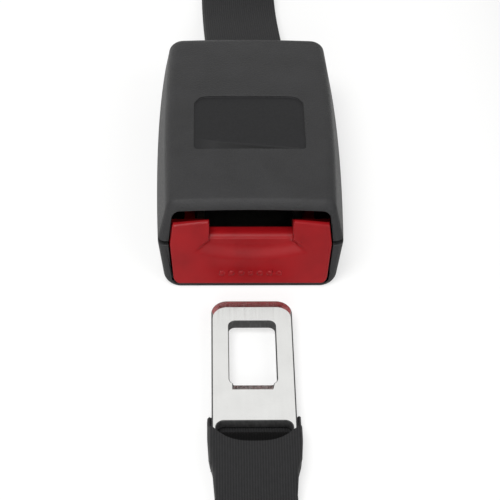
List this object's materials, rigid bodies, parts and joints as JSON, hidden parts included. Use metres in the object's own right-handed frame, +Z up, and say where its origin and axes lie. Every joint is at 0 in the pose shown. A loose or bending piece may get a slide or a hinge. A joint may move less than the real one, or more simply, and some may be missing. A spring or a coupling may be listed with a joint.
{
  "type": "seat belt extender",
  "caption": "Belt extender: an end-release buckle with a red push button, joined by a folded webbing strap to a flat steel tongue that lies in front of the buckle's mouth.",
  "frame": {"origin": "on the table under the middle of the buckle, on the flat underside of its lower shell", "axes": "+Z up from the table, +Y from the buckle's mouth to the end where its strap leaves, +X the buckle's width, to the side where the strap runs back"},
  "size_m": [0.1266, 0.349, 0.0252],
  "materials": {
    "black_plastic": "moulded, fine spark-eroded texture",
    "red_plastic": "moulded, satin",
    "natural_plastic": "moulded, natural acetal",
    "bright_steel": "nickel-chrome plated and polished",
    "plated_steel": "zinc plated",
    "spring_steel": "drawn wire",
    "webbing": "woven polyester belt webbing",
    "thread": "bonded polyester thread"
  },
  "bodies": {
    "body": {"upper_shell": "black_plastic", "lower_shell": "black_plastic", "steel_channel": "plated_steel", "tongue_guide": "natural_plastic", "latch_pivot_pin": "plated_steel", "pivot_clip": "spring_steel", "strap_bar": "plated_steel", "shell_screw_left": "plated_steel", "shell_screw_right": "plated_steel", "strap": "webbing", "tongue_plate": "bright_steel", "stitch_row_1": "thread", "stitch_row_2": "thread", "stitch_row_3": "thread", "stitch_row_4": "thread", "button_spring_left": "spring_steel", "button_spring_right": "spring_steel", "ejector_spring": "spring_steel", "latch_spring": "spring_steel"},
    "button": {"release_button": "red_plastic", "lock_pin": "plated_steel"},
    "ejector": {"ejector": "natural_plastic"},
    "latch": {"latch": "plated_steel"}
  },
  "joints": [
    {"name": "button_slide", "type": "slide", "parent": "body", "child": "button", "axis": [0, 1, 0], "range_m": [0, 0.005], "stiffness_N_per_m": 600, "springref_m": -0.006, "deforming": ["button_spring_left", "button_spring_right"]},
    {"name": "latch_hinge", "type": "hinge", "parent": "body", "child": "latch", "pos_m": [0, 0.014, 0.0125], "axis": [-1, 0, 0], "range_deg": [0, 14], "stiffness_Nm_per_rad": 0.05, "springref_deg": -20.05, "deforming": ["latch_spring"]},
    {"name": "ejector_slide", "type": "slide", "parent": "body", "child": "ejector", "axis": [0, 1, 0], "range_m": [0, 0.012], "deforming": ["ejector_spring"]}
  ],
  "couplings": [
    {"joint": "ejector_slide", "follows": "latch_hinge", "m_per_rad": 0.0491}
  ]
}
